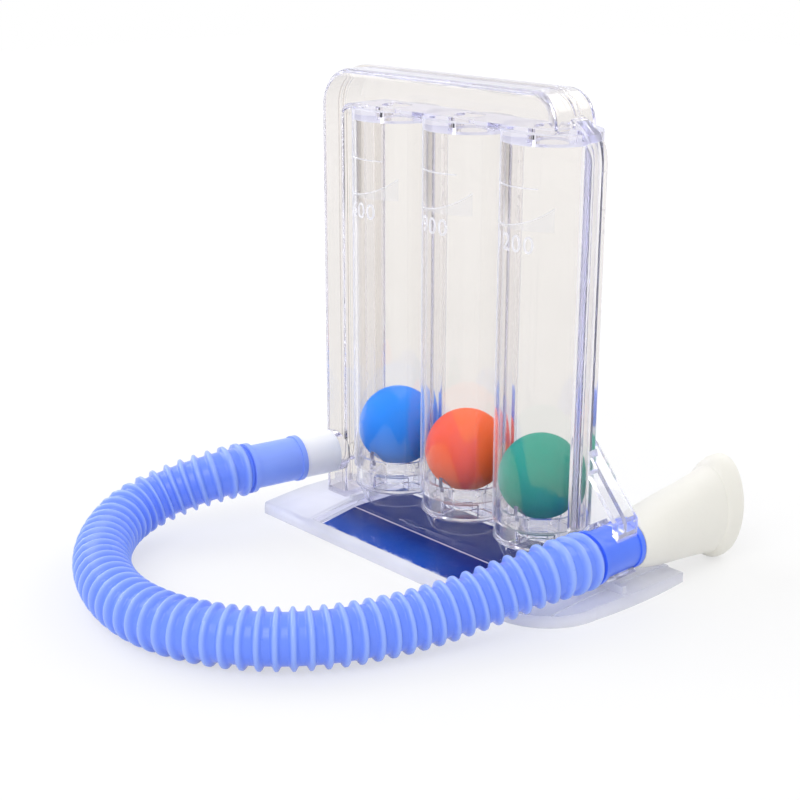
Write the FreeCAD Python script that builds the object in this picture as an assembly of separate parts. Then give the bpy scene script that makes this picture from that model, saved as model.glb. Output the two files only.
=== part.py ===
# Three-ball incentive spirometer: a clear two-shell body on a clear base, three balls,
# a corrugated breathing hose and a mouthpiece held in a clip.
# Millimetres. Origin: middle of the base's underside. +X right, +Y back, +Z up.
import FreeCAD
import Part
import math
import os

# Balls and flow tubes
ball_radius = 12.7
ball_clearance = 0.3
tube_wall = 1.2
tube_bore = ball_radius + ball_clearance
tube_radius = tube_bore + tube_wall
tube_pitch = 31.0
tube_axis_y = 1.0
tube_bottom = 19.0
tube_length = 113.9
tube_top = tube_bottom + tube_length
tube_roof = 3.2
tube_names = ["left", "centre", "right"]
tube_xs = [-tube_pitch, 0.0, tube_pitch]

# Air outlet from each tube's roof up into the header
outlet_radius = 4.6

# Body shells, split at the tube axes
shell_wall = 1.6
flange_thickness = 2.0
front_depth = 9.4
rear_depth = 8.3
shell_corner = 12.0
shell_end_corner = 9.2
shell_corner_flat = 0.2
shell_edge_round = 2.2
shell_inner_round = 0.8
inner_corner = 3.0
header_height = 11.7
header_lap = 0.8
header_bottom = tube_top - header_lap
header_top = header_bottom + header_height
channel_gap = 1.1
channel_width = 10.4
channel_right = tube_xs[0] - tube_radius - channel_gap
channel_left = channel_right - channel_width
channel_bottom = 4.6
header_right = 40.4
seam_lip = 0.7
seam_lip_thickness = 1.3
seam_groove = 0.5

# Stiffening rim down the right side
rim_width = 5.0
rim_depth = 3.5
rim_gap = 3.4
rim_right = tube_xs[2] + tube_radius + rim_gap
rim_drop = 6.6
rim_top = header_top - rim_drop
rim_corner = 12.0
rim_round = 1.1
rim_lap = 0.5

# Base: a shallow hollow tray that is highest in the middle and steps down towards its ends
base_half_length = 64.4
base_half_depth = 29.9
base_wall = 1.8
base_edge_round = 2.2
base_least_round = 0.4
base_panel_edge = 4.0
base_panel_crown = 6.5
base_side_edge = 3.6
base_side_crown = 4.6
base_end_edge = 3.2
base_end_crown = 4.1
base_plinth = 7.4
base_plinth_half = 11.6
base_plinth_riser = 0.6
base_panel_half = 41.5
base_end_step = 6.8
base_side_half = base_half_length - base_end_step
base_front_corner = 20.0
base_side_draw = 1.5
base_small_corner = 1.2

# Sockets in the base for the body's two legs
leg_bottom = 2.4
leg_clearance = 0.1
leg_inset = 1.0
socket_wall = 1.3
socket_bottom = 1.0

# Rails and stiffening ribs at the base's ends
rail_front = 0.2
rail_width = 1.7
rail_clearance = 0.3
rail_inner_z = 7.5
rail_outer_z = 6.6
rail_inset = 1.4
rail_end = base_half_length - rail_inset
rail_end_round = 0.4
rib_offset = 5.0
rib_width = 1.2

# Printed card under the base's front panel
card_thickness = 0.4
card_inset = 3.5
card_half_length = base_panel_half - card_inset
card_front_y = card_inset - base_half_depth
card_back_y = 10.0
card_clearance = 0.05

# Air-inlet cups under the tubes
cup_lip_radius = 13.7
cup_lip_bottom = 12.7
cup_lip_thickness = 1.3
cup_lip_overhang = 0.6
cup_wall = 1.1
cup_collar_radius = 13.4
cup_collar_band = 0.9
cup_foot_radius = 11.0
cup_leg_gap = 0.4
cup_spigot_clearance = 0.1
cup_spigot_height = 4.0
cup_floor_hole = 6.0
cup_window_start = -78.0
cup_window_end = -28.0
vane_gap = 0.4
vane_thickness = 0.9
vane_height = 3.0
vane_sink = 0.2
vane_sweep = 150.0
vane_lead = 100.0
fin_count = 4
fin_thickness = 1.2
fin_inner = 6.4
fin_start_angle = 190.0
fin_slope_drop = 5.6
fin_sink = 0.3
fin_step = 0.5
ball_seat_gap = 0.3
ball_seat_radius = 9.0

# The right leg is narrowed beside the cup
right_leg_from = tube_xs[2] + cup_lip_radius + cup_leg_gap

# Outlet port, flexible adapter and hose cuffs
port_x = channel_left + channel_width / 2
port_z = 19.9
port_yaw = 10.0
port_boss_radius = 5.4
port_boss_length = 12.0
port_bore = 4.3
adapter_radius = 6.9
adapter_clearance = 0.05
adapter_start = 1.6
adapter_length = 14.1
adapter_nose_length = 10.0
adapter_web = 1.5
cuff_radius = 7.0
cuff_wall = 1.2
cuff_bead = 7.4
cuff_bead_length = 1.7
cuff_collar = 8.0
cuff_collar_length = 1.6
port_cuff_length = 19.0
cuff_bore = cuff_radius - cuff_wall

# Hose
hose_radius = 8.65
hose_wall = 2.0

# Mouthpiece and the cuff that carries it
mouth_x = 58.0
mouth_z = 16.8
mouth_cuff_start = -9.5
mouth_cuff_end = 8.0
mouth_stem_length = 12.0
mouth_stem_clearance = 0.05
mouth_wall = 1.1
mouth_throat_radius = 7.5
mouth_neck_y = 14.0
mouth_neck_half_width = 7.9
mouth_neck_half_height = 9.1
mouth_middle_y = 28.0
mouth_middle_half_width = 8.0
mouth_middle_half_height = 11.4
mouth_body_end = 45.5
mouth_body_half_width = 8.3
mouth_body_half_height = 14.0
mouth_flare_length = 1.6
mouth_flare_width = 0.7
mouth_flare_height = 1.6
mouth_rim_y = 49.8
mouth_rim_half_width = 9.1
mouth_rim_half_height = 16.5
mouth_lip_length = 3.4
mouth_lip_round = 0.5
mouth_shoulder_gap = 0.3
oval_least = 0.02

# Clip that holds the cuff on the right-hand rim
clip_front_y = -2.6
clip_depth = 8.6
clip_web_offset = 3.5
clip_hook = 1.8
clip_web = 1.5
clip_flange = 1.6
clip_top_z = 43.9
clip_outer_x = 63.4
clip_shoulder_z = 26.6
clip_foot_z = 20.5
clip_arm_start_x = 51.6
clip_saddle_clearance = 0.1
clip_saddle_wall = 1.5
clip_saddle_from = 38.0
clip_saddle_to = 222.0
clip_edge_round = 0.4
clip_hook_lap = 1.0
clip_bridge_half = 2.0

# The hose's route, from the port cuff to the mouthpiece cuff
hose_lead = 5.8
hose_approach = 6.7
arc_share = 0.45
hose_middle_route = [
    (-60.8, -52.4, 18.8),
    (-65.2, -59.4, 16.5),
    (-68.4, -66.6, 14.0),
    (-69.1, -74.6, 11.9),
    (-66.4, -82.6, 10.4),
    (-60.8, -90.4, 9.4),
    (-52.0, -98.3, 9.0),
    (-40.3, -105.3, 8.8),
    (-25.9, -110.3, 8.8),
    (-11.1, -111.6, 8.8),
    (3.5, -108.6, 8.8),
    (17.1, -101.5, 8.8),
    (28.3, -91.0, 8.8),
    (36.3, -77.6, 8.8),
    (42.3, -60.6, 9.2),
    (47.0, -46.6, 10.9),
    (52.0, -33.6, 14.0),
    (56.3, -23.0, 16.6),
]


def vec(x, y, z):
    return FreeCAD.Vector(x, y, z)


def rounded_wire(corners, place):
    """Closed wire through (u, v, radius) corners, with an arc at each radius above zero."""
    count = len(corners)
    joints = []
    for i in range(count):
        u, v, radius = corners[i]
        pu, pv, _ = corners[i - 1]
        nu, nv, _ = corners[(i + 1) % count]
        back = math.hypot(pu - u, pv - v)
        ahead = math.hypot(nu - u, nv - v)
        bu, bv = (pu - u) / back, (pv - v) / back
        au, av = (nu - u) / ahead, (nv - v) / ahead
        if radius <= 0:
            joints.append(((u, v), None, (u, v)))
            continue
        half = math.acos(max(-1.0, min(1.0, bu * au + bv * av))) / 2
        reach = radius / math.tan(half)
        to_centre = radius / math.sin(half)
        mid_u, mid_v = bu + au, bv + av
        size = math.hypot(mid_u, mid_v)
        crown = to_centre - radius
        middle = (u + mid_u / size * crown, v + mid_v / size * crown)
        joints.append(((u + bu * reach, v + bv * reach), middle, (u + au * reach, v + av * reach)))
    edges = []
    for i in range(count):
        start, middle, end = joints[i]
        if middle is not None:
            edges.append(Part.Arc(place(*start), place(*middle), place(*end)).toShape())
        following = joints[(i + 1) % count][0]
        if math.hypot(following[0] - end[0], following[1] - end[1]) > 1e-6:
            edges.append(Part.LineSegment(place(*end), place(*following)).toShape())
    return Part.Wire(edges)


def slab_xz(corners, y_from, y_to):
    """Solid with a rounded outline in X and Z, between two Y values."""
    wire = rounded_wire(corners, lambda u, v: vec(u, y_from, v))
    return Part.Face(wire).extrude(vec(0, y_to - y_from, 0))


def slab_yz(corners, x_from, x_to):
    """Solid with a rounded outline in Y and Z, between two X values."""
    wire = rounded_wire(corners, lambda u, v: vec(x_from, u, v))
    return Part.Face(wire).extrude(vec(x_to - x_from, 0, 0))


def block(x_from, x_to, y_from, y_to, z_from, z_to):
    low = vec(min(x_from, x_to), min(y_from, y_to), min(z_from, z_to))
    return Part.makeBox(abs(x_to - x_from), abs(y_to - y_from), abs(z_to - z_from), low)


def rod(radius, x, y, z_from, z_to):
    return Part.makeCylinder(radius, z_to - z_from, vec(x, y, z_from))


def turned(profile, x, y):
    """Solid of revolution about a vertical line, from (radius, z) points."""
    points = [vec(x + r, y, z) for r, z in profile]
    points.append(points[0])
    return Part.Face(Part.makePolygon(points)).revolve(vec(x, y, 0), vec(0, 0, 1), 360)


def save(name, shape):
    shape = shape.removeSplitter()
    solids = shape.Solids
    result = solids[0] if len(solids) == 1 else Part.makeCompound(solids)
    result.exportStep("parts/" + name + ".step")
    print(name, "solids", len(solids), "valid", result.isValid(), "volume", round(result.Volume, 1))


def tray_outline(inset):
    """The header and left channel as one inverted L, moved inwards by inset."""
    left = channel_left + inset
    right = header_right - inset
    top = header_top - inset
    end_corner = min(shell_end_corner - inset, header_height - 2 * inset - shell_corner_flat)
    return [
        (left, channel_bottom + inset, 0),
        (left, top, shell_corner - inset),
        (right, top, end_corner),
        (right, header_bottom + inset, 0),
        (channel_right - inset, header_bottom + inset, inner_corner + inset),
        (channel_right - inset, channel_bottom + inset, 0),
    ]


def face_edges(shape, y_face):
    """Edges that lie on the flat face at y_face."""
    edges = []
    for edge in shape.Edges:
        box = edge.BoundBox
        if abs(box.YMin - y_face) < 1e-4 and abs(box.YMax - y_face) < 1e-4:
            edges.append(edge)
    return edges


def long_edges(shape, y_face):
    """The rim's running edges on the flat face at y_face, without its two short ends."""
    return [edge for edge in face_edges(shape, y_face) if abs(edge.Length - rim_width) > 1e-3]


def round_tray(shape, y_face):
    """Round the tray's face: small on the side towards the tubes, large round the outside."""
    inner = []
    for edge in face_edges(shape, y_face):
        middle = edge.valueAt((edge.FirstParameter + edge.LastParameter) / 2)
        towards_tubes = middle.x > channel_left + channel_width / 2 + 1 and middle.z < header_bottom + 1
        if towards_tubes and edge.Length > 2 * shell_inner_round:
            inner.append(edge)
    shape = shape.makeFillet(shell_inner_round, inner)
    outer = []
    for edge in face_edges(shape, y_face):
        box = edge.BoundBox
        on_left = box.XMax < channel_left + shell_corner + 0.01 and box.ZMax > channel_bottom + 1
        on_top = box.ZMax > header_top - shell_end_corner - 1
        if (on_left and box.XMin < channel_left + 0.01) or on_top:
            if box.ZMax > channel_bottom + 1 and edge.Length > 0.1:
                outer.append(edge)
    return shape.makeFillet(shell_edge_round, outer)


def rim_outline():
    """Band that leaves the header's right side, turns down and ends in the right leg."""
    inner = rim_right - rim_width
    inner_radius = rim_corner - rim_width
    start = rim_right - rim_corner - rim_lap
    return [
        (start, rim_top, 0),
        (rim_right, rim_top, rim_corner),
        (rim_right, leg_bottom, 0),
        (inner, leg_bottom, 0),
        (inner, rim_top - rim_width, inner_radius),
        (start, rim_top - rim_width, 0),
    ]


def flange_outline():
    """Thin plate that joins channel, header, tubes and rim."""
    start = rim_right - rim_corner - rim_lap
    return [
        (channel_left + leg_inset, tube_bottom, 0),
        (channel_left + leg_inset, header_bottom + leg_inset, 0),
        (start, header_bottom + leg_inset, 0),
        (start, rim_top - rim_width / 2, 0),
        (rim_right - rim_width / 2, rim_top - rim_width / 2, rim_corner - rim_width / 2),
        (rim_right - rim_width / 2, tube_bottom, 0),
    ]


def shell(side, depth):
    """One half of the body. side is -1 for the front half and 1 for the rear half."""
    seam = tube_axis_y
    beyond = 2 * tube_radius
    face = seam + side * depth
    flange_face = seam + side * flange_thickness
    tray = round_tray(slab_xz(tray_outline(0), seam, face), face)
    cavity = slab_xz(tray_outline(shell_wall), seam, face - side * shell_wall)
    plate = slab_xz(flange_outline(), seam, flange_face)
    rim = slab_xz(rim_outline(), seam, seam + side * rim_depth)
    rim = rim.makeFillet(rim_round, long_edges(rim, seam + side * rim_depth))
    rim = rim.cut([
        block(0, header_right - rim_lap, -beyond, beyond, 0, header_bottom + rim_lap),
        block(0, right_leg_from, -beyond, beyond, 0, tube_bottom),
    ])
    lip = slab_xz(tray_outline(-seam_lip), seam + side * seam_groove, seam + side * seam_lip_thickness)
    lip = lip.cut([
        block(header_right - seam_lip, header_right + 2 * seam_lip, -beyond, beyond, 0, rim_top),
        block(channel_left - 2 * seam_lip, channel_right + 2 * seam_lip, -beyond, beyond, 0, channel_bottom),
    ])
    tongue_from, tongue_to, _ = leg_spans()[0]
    leg = block(tongue_from, tongue_to, seam, flange_face, leg_bottom, channel_bottom + shell_wall)
    body = tray.fuse([plate, rim, lip, leg])
    body = body.cut(cavity)
    half = block(channel_left, rim_right, seam, seam + side * 3 * tube_radius, 0, 2 * header_top)
    tubes = []
    bores = []
    for x in tube_xs:
        tubes.append(rod(tube_radius, x, seam, tube_bottom, tube_top).common(half))
        bores.append(rod(tube_bore, x, seam, tube_bottom - 1, tube_top - tube_roof))
        bores.append(rod(outlet_radius, x, seam, tube_top - 2 * tube_roof, header_bottom + 2 * shell_wall))
    body = body.fuse(tubes)
    return body.cut(bores)


def port_frame():
    """Origin and outward direction of the port's axis."""
    yaw = math.radians(port_yaw)
    direction = vec(-math.sin(yaw), -math.cos(yaw), 0)
    origin = vec(port_x, tube_axis_y - front_depth, port_z)
    return origin, direction


def port_tube(outer, inner, start, end):
    """Tube on the port's axis between two distances from the body's face."""
    origin, direction = port_frame()
    base = origin + direction * start
    solid = Part.makeCylinder(outer, end - start, base, direction)
    if inner > 0:
        solid = solid.cut(Part.makeCylinder(inner, end - start + 2, base - direction, direction))
    return solid


def make_front_shell():
    body = shell(-1, front_depth)
    seam_depth = front_depth - shell_wall
    boss = port_tube(port_boss_radius, 0, -shell_wall, port_boss_length)
    collar = port_tube(adapter_radius, 0, -shell_wall, adapter_start)
    inside = tube_axis_y - front_depth + shell_wall / 2
    reach = 2 * port_boss_length
    keep = block(port_x - reach, port_x + reach, inside - reach, inside, 0, port_z + reach)
    body = body.fuse([boss.common(keep), collar.common(keep)])
    return body.cut(port_tube(port_bore, 0, -seam_depth + 1, port_boss_length + 1))


def make_rear_shell():
    return shell(1, rear_depth)


def base_plan(inset):
    """Outline of the base: straight front and back, each end full at one corner and swept at the other."""
    half_x = base_half_length - inset
    half_y = base_half_depth - inset
    swept_x = half_x - base_side_draw
    corner = base_front_corner
    short = corner * (1 - math.sqrt(0.5))
    full_x = half_x - base_side_draw / 2
    points = [
        vec(swept_x - corner, -half_y, 0),
        vec(swept_x - short, -half_y + short, 0),
        vec(swept_x, -half_y + corner, 0),
        vec(half_x, base_half_depth / 3, 0),
        vec(full_x, half_y - base_small_corner, 0),
        vec(full_x - base_small_corner, half_y, 0),
    ]
    opposite = [vec(-p.x, -p.y, 0) for p in points]
    edges = []
    for side, other in ((points, opposite), (opposite, points)):
        edges.append(Part.Arc(side[0], side[1], side[2]).toShape())
        edges.append(Part.Arc(side[2], side[3], side[4]).toShape())
        edges.append(Part.LineSegment(side[4], side[5]).toShape())
        edges.append(Part.LineSegment(side[5], other[0]).toShape())
    return Part.Face(Part.Wire(edges))


def base_section(half_length, edge, crown, inset):
    """The base's cross-section from front to back, drawn out over a length centred on the middle."""
    floor = -inset
    y = base_half_depth - inset
    edge_round = max(base_edge_round - inset, base_least_round)
    shoulder = base_plinth_half + base_plinth_riser
    corners = [
        (-y, floor, 0),
        (-y, edge - inset, edge_round),
        (tube_axis_y - shoulder, crown - inset, 0),
        (tube_axis_y + shoulder, crown - inset, 0),
        (y, edge - inset, edge_round),
        (y, floor, 0),
    ]
    return slab_yz(corners, inset - half_length, half_length - inset)


def base_plinth_block(inset):
    """Raised strip under the tubes, with sloped risers at front and back."""
    top = base_plinth_half - inset
    foot = top + base_plinth_riser
    corners = [
        (tube_axis_y - foot, -inset, 0),
        (tube_axis_y - foot, base_panel_crown - inset, 0),
        (tube_axis_y - top, base_plinth - inset, 0),
        (tube_axis_y + top, base_plinth - inset, 0),
        (tube_axis_y + foot, base_panel_crown - inset, 0),
        (tube_axis_y + foot, -inset, 0),
    ]
    return slab_yz(corners, inset - base_panel_half, base_panel_half - inset)


def base_bulk(inset):
    """The base's outer form, or the hollow under it when inset is the wall."""
    plan = base_plan(inset).extrude(vec(0, 0, 2 * base_plinth))
    plan.translate(vec(0, 0, -inset))
    ends = base_section(base_half_length, base_end_edge, base_end_crown, inset)
    sides = base_section(base_side_half, base_side_edge, base_side_crown, inset)
    panel = base_section(base_panel_half, base_panel_edge, base_panel_crown, inset)
    return ends.fuse([sides, panel, base_plinth_block(inset)]).common(plan)


def leg_spans():
    """X range and half thickness of the two legs that stand in the base."""
    return [
        (channel_left + leg_inset, channel_right - leg_inset, flange_thickness),
        (right_leg_from, rim_right, rim_depth),
    ]


def leg_block(x_from, x_to, thick, grow, z_from, z_to):
    """Block around a leg, larger by grow on all four sides."""
    y_from = tube_axis_y - thick - grow
    y_to = tube_axis_y + thick + grow
    return block(x_from - grow, x_to + grow, y_from, y_to, z_from, z_to)


def base_rail(inner, outer):
    """Low rail along X that slopes down from the body to the end of the base."""
    corners = [
        (inner, base_end_crown - base_wall, 0),
        (inner, rail_inner_z, 0),
        (outer, rail_outer_z, rail_end_round),
        (outer, base_end_crown - base_wall, 0),
    ]
    y_from = tube_axis_y + rail_front
    return slab_xz(corners, y_from, y_from + rail_width)


def make_base():
    hollow = base_bulk(base_wall)
    body = base_bulk(0).cut(hollow)
    added = [
        base_rail(rim_right + rail_clearance, rail_end),
        base_rail(channel_left - seam_lip - rail_clearance, -rail_end),
    ]
    for side in (-1, 1):
        y = side * rib_offset + tube_axis_y
        ends = (side * base_panel_half, side * rail_end)
        added.append(block(*ends, y - rib_width / 2, y + rib_width / 2, 0, base_end_crown))
    slots = []
    for x_from, x_to, thick in leg_spans():
        slots.append(leg_block(x_from, x_to, thick, leg_clearance, -1, base_plinth))
        wall = leg_clearance + socket_wall
        added.append(leg_block(x_from, x_to, thick, wall, socket_bottom, base_side_crown - base_wall / 2))
    return body.fuse(added).cut(slots)


def panel_underside(y):
    """Height of the front panel's underside above the table, in front of the plinth."""
    crown_y = tube_axis_y - base_plinth_half - base_plinth_riser
    edge_y = base_wall - base_half_depth
    share = min(1.0, (y - edge_y) / (crown_y - edge_y))
    return base_panel_edge + share * (base_panel_crown - base_panel_edge) - base_wall


def make_base_card():
    """Printed card that follows the underside of the clear front panel."""
    bend_y = tube_axis_y - base_plinth_half - base_plinth_riser
    top = []
    for y in (card_front_y, bend_y, card_back_y):
        top.append((y, panel_underside(y) - card_clearance, 0))
    bottom = [(y, z - card_thickness, 0) for y, z, _ in reversed(top)]
    return slab_yz(top + bottom, -card_half_length, card_half_length)


def make_ball(x):
    z = ball_rest_z()
    return Part.makeSphere(ball_radius, vec(x, tube_axis_y, z))


def ball_rest_z():
    """Height of a resting ball's centre, from the fins' sloped tops and the seat gap."""
    return fin_top(ball_seat_radius) + math.sqrt(2) * ball_seat_gap + ball_seat_radius_drop()


def ball_seat_radius_drop():
    return math.sqrt(ball_radius ** 2 - ball_seat_radius ** 2)


def fin_top(radius):
    """The fins' tops slope at 45 degrees, from the spigot wall down to the middle."""
    return tube_bottom + radius - fin_slope_drop


def make_inlet_cup(x):
    y = tube_axis_y
    lip_top = cup_lip_bottom + cup_lip_thickness
    spigot = tube_bore - cup_spigot_clearance
    spigot_top = tube_bottom + cup_spigot_height
    foot_top = cup_lip_radius - cup_lip_overhang
    profile = [
        (cup_foot_radius, base_plinth),
        (foot_top, cup_lip_bottom),
        (cup_lip_radius, cup_lip_bottom),
        (cup_lip_radius, lip_top),
        (cup_collar_radius, lip_top),
        (cup_collar_radius, tube_bottom),
        (spigot, tube_bottom),
        (spigot, spigot_top),
        (spigot - cup_wall, spigot_top),
        (spigot - cup_wall, lip_top),
        (cup_floor_hole, lip_top),
        (cup_floor_hole, cup_lip_bottom),
        (foot_top - cup_wall, cup_lip_bottom),
        (cup_foot_radius - cup_wall, base_plinth),
    ]
    cup = turned(profile, x, y)
    window = cup_window_end - cup_window_start
    height = tube_bottom - lip_top - cup_collar_band
    wedge = Part.makeCylinder(cup_lip_radius + 1, height, vec(x, y, lip_top), vec(0, 0, 1), window)
    wedge.rotate(vec(x, y, 0), vec(0, 0, 1), cup_window_start)
    keep_out = rod(cup_floor_hole + 1, x, y, lip_top, tube_bottom)
    cup = cup.cut(wedge.cut(keep_out))
    fins = []
    for i in range(fin_count):
        fin = [
            vec(fin_inner, 0, lip_top - fin_sink),
            vec(fin_inner, 0, fin_top(fin_inner)),
            vec(spigot, 0, fin_top(spigot)),
            vec(spigot, 0, spigot_top - fin_step),
            vec(spigot - cup_wall / 2, 0, spigot_top - fin_step),
            vec(spigot - cup_wall / 2, 0, lip_top - fin_sink),
        ]
        face = Part.Face(Part.makePolygon(fin + [fin[0]]))
        solid = face.extrude(vec(0, fin_thickness, 0))
        solid.translate(vec(0, -fin_thickness / 2, 0))
        solid.rotate(vec(0, 0, 0), vec(0, 0, 1), fin_start_angle + 360.0 * i / fin_count)
        solid.translate(vec(x, y, 0))
        fins.append(solid)
    cup = cup.fuse(fins)
    return cup.fuse(inlet_vane(x, y, lip_top))


def inlet_vane(x, y, floor):
    """Curved guide wall that leads air from the side window round to the middle."""
    inner = cup_floor_hole + vane_gap
    outer = inner + vane_thickness
    foot = floor - vane_sink
    ring = Part.makeCylinder(outer, vane_height + vane_sink, vec(x, y, foot), vec(0, 0, 1), vane_sweep)
    ring = ring.cut(rod(inner, x, y, foot - vane_sink, floor + 2 * vane_height))
    ring.rotate(vec(x, y, 0), vec(0, 0, 1), cup_window_start - vane_lead)
    return ring


def make_port_adapter():
    sleeve = port_tube(adapter_radius, port_boss_radius + adapter_clearance, adapter_start, adapter_length)
    nose_end = adapter_length + adapter_nose_length
    nose = port_tube(cuff_bore - adapter_clearance, port_bore, adapter_length - adapter_web, nose_end)
    return sleeve.fuse(nose)


def make_port_cuff():
    start = adapter_length
    end = adapter_length + port_cuff_length
    bead = port_tube(cuff_bead, cuff_bore, start, start + cuff_bead_length)
    collar = port_tube(cuff_collar, cuff_bore, end - cuff_collar_length, end)
    return port_tube(cuff_radius, cuff_bore, start, end).fuse([bead, collar])


def make_mouth_cuff():
    axis = vec(0, 1, 0)
    start = vec(mouth_x, mouth_cuff_start, mouth_z)
    length = mouth_cuff_end - mouth_cuff_start
    body = Part.makeCylinder(cuff_radius, length, start, axis)
    bead_start = vec(mouth_x, mouth_cuff_end - cuff_bead_length, mouth_z)
    bead = Part.makeCylinder(cuff_bead, cuff_bead_length, bead_start, axis)
    collar = Part.makeCylinder(cuff_collar, cuff_collar_length, start, axis)
    body = body.fuse([bead, collar])
    return body.cut(Part.makeCylinder(cuff_bore, length + 2, start - axis, axis))


def oval_wire(half_width, half_height, y):
    """Closed ellipse across the mouthpiece's axis."""
    if half_height >= half_width:
        ellipse = Part.Ellipse(vec(0, 0, half_height), vec(half_width, 0, 0), vec(0, 0, 0))
    else:
        ellipse = Part.Ellipse(vec(half_width, 0, 0), vec(0, 0, half_height), vec(0, 0, 0))
    edge = ellipse.toShape()
    edge.translate(vec(mouth_x, y, mouth_z))
    return Part.Wire([edge])


def oval_loft(stations):
    """Smooth solid through (half width, half height, y) ovals."""
    return Part.makeLoft([oval_wire(w, h, y) for w, h, y in stations], True, False)


def mouth_stations(shrink, y_start):
    """Body of the mouthpiece: round at the cuff and taller towards the lips."""
    stations = [
        (mouth_throat_radius, mouth_throat_radius + oval_least, y_start),
        (mouth_neck_half_width, mouth_neck_half_height, mouth_neck_y),
        (mouth_middle_half_width, mouth_middle_half_height, mouth_middle_y),
        (mouth_body_half_width, mouth_body_half_height, mouth_body_end),
    ]
    return [(w - shrink, h - shrink, y) for w, h, y in stations]


def make_mouthpiece():
    axis = vec(0, 1, 0)
    end_y = mouth_rim_y + mouth_lip_length
    body = oval_loft(mouth_stations(0, mouth_cuff_end + mouth_shoulder_gap))
    flare_width = mouth_body_half_width + mouth_flare_width
    flare_height = mouth_body_half_height + mouth_flare_height
    end_width = mouth_rim_half_width - mouth_lip_round
    end_height = mouth_rim_half_height - mouth_lip_round
    lip = oval_loft([
        (mouth_body_half_width, mouth_body_half_height, mouth_body_end),
        (flare_width, flare_height, mouth_body_end + mouth_flare_length),
        (mouth_rim_half_width, mouth_rim_half_height, mouth_rim_y),
        (end_width + mouth_lip_round / 2, end_height + mouth_lip_round / 2, end_y - mouth_lip_round),
        (end_width, end_height, end_y),
    ])
    stem_radius = cuff_bore - mouth_stem_clearance
    stem_start = vec(mouth_x, mouth_cuff_end - mouth_stem_length, mouth_z)
    stem = Part.makeCylinder(stem_radius, mouth_stem_length + 1, stem_start, axis)
    body = body.fuse([lip, stem])
    inside = mouth_stations(mouth_wall, mouth_cuff_end + mouth_shoulder_gap + mouth_wall)
    inside.append((end_width - mouth_wall / 2, end_height - 2 * mouth_wall, end_y + mouth_wall))
    bore_length = 1 + mouth_stem_length + 2 * mouth_wall
    bore = Part.makeCylinder(stem_radius - mouth_wall, bore_length, stem_start - axis, axis)
    return body.cut(oval_loft(inside).fuse(bore))


def make_clip():
    """Triangular bracket with a sloping flange and a saddle that hooks over the cuff."""
    y0 = clip_front_y
    y1 = clip_front_y + clip_depth
    wall_x = rim_right
    web_y = y0 + clip_web_offset
    inner = cuff_radius + clip_saddle_clearance
    outer = inner + clip_saddle_wall
    slope = (clip_top_z - clip_shoulder_z) / (clip_outer_x - wall_x)
    across = clip_flange * math.hypot(1, slope) / slope
    drop = clip_flange * math.hypot(1, slope)
    arm_top = clip_shoulder_z + slope * (clip_outer_x - clip_arm_start_x)
    triangle = [
        (wall_x, mouth_z, 0),
        (wall_x, clip_top_z, 0),
        (clip_outer_x, clip_shoulder_z, 0),
        (clip_outer_x, clip_foot_z, 0),
        (mouth_x, clip_foot_z, 0),
        (mouth_x, mouth_z, 0),
    ]
    web = slab_xz(triangle, web_y, web_y + clip_web)
    rear_arm = [
        (wall_x, clip_top_z - drop, 0),
        (wall_x, clip_top_z, 0),
        (clip_outer_x, clip_shoulder_z, clip_edge_round),
        (clip_outer_x, clip_foot_z, clip_edge_round),
        (clip_outer_x - across, clip_foot_z, 0),
        (clip_outer_x - across, clip_shoulder_z, 0),
    ]
    front_arm = [
        (clip_arm_start_x, arm_top - drop, clip_edge_round),
        (clip_arm_start_x, arm_top, clip_edge_round),
        (clip_outer_x, clip_shoulder_z, clip_edge_round),
        (clip_outer_x, clip_foot_z, clip_edge_round),
        (clip_outer_x - across, clip_foot_z, 0),
        (clip_outer_x - across, clip_shoulder_z, 0),
    ]
    hook_y = tube_axis_y + rim_depth
    hook_x = wall_x - clip_hook
    hook_top = clip_top_z + slope * clip_hook
    hook = slab_xz([
        (hook_x, hook_top - drop, 0),
        (hook_x, hook_top, 0),
        (wall_x + clip_hook_lap, clip_top_z - slope * clip_hook_lap, 0),
        (wall_x + clip_hook_lap, clip_top_z - slope * clip_hook_lap - drop, 0),
    ], hook_y, y1)
    sweep = clip_saddle_to - clip_saddle_from
    start = vec(mouth_x, y0, mouth_z)
    saddle = Part.makeCylinder(outer, clip_depth, start, vec(0, 1, 0), sweep)
    saddle.rotate(start, vec(0, 1, 0), -clip_saddle_to)
    bridge_end = (mouth_x - inner - clip_saddle_wall / 4, mouth_z + clip_bridge_half)
    bridge = block(wall_x, bridge_end[0], web_y, web_y + clip_web, mouth_z - clip_bridge_half, bridge_end[1])
    saddle = saddle.fuse(bridge)
    arms = [slab_xz(rear_arm, web_y, y1), slab_xz(front_arm, y0, web_y + clip_web)]
    body = web.fuse(arms + [hook, saddle])
    bore = Part.makeCylinder(inner, clip_depth + 2, start - vec(0, 1, 0), vec(0, 1, 0))
    return body.cut(bore)


def hose_route():
    origin, direction = port_frame()
    start = origin + direction * (adapter_length + port_cuff_length)
    lead = start + direction * hose_lead
    end = vec(mouth_x, mouth_cuff_start, mouth_z)
    approach = end - vec(0, hose_approach, 0)
    middle = [vec(*p) for p in hose_middle_route]
    return [start, lead] + middle + [approach, end]


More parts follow.
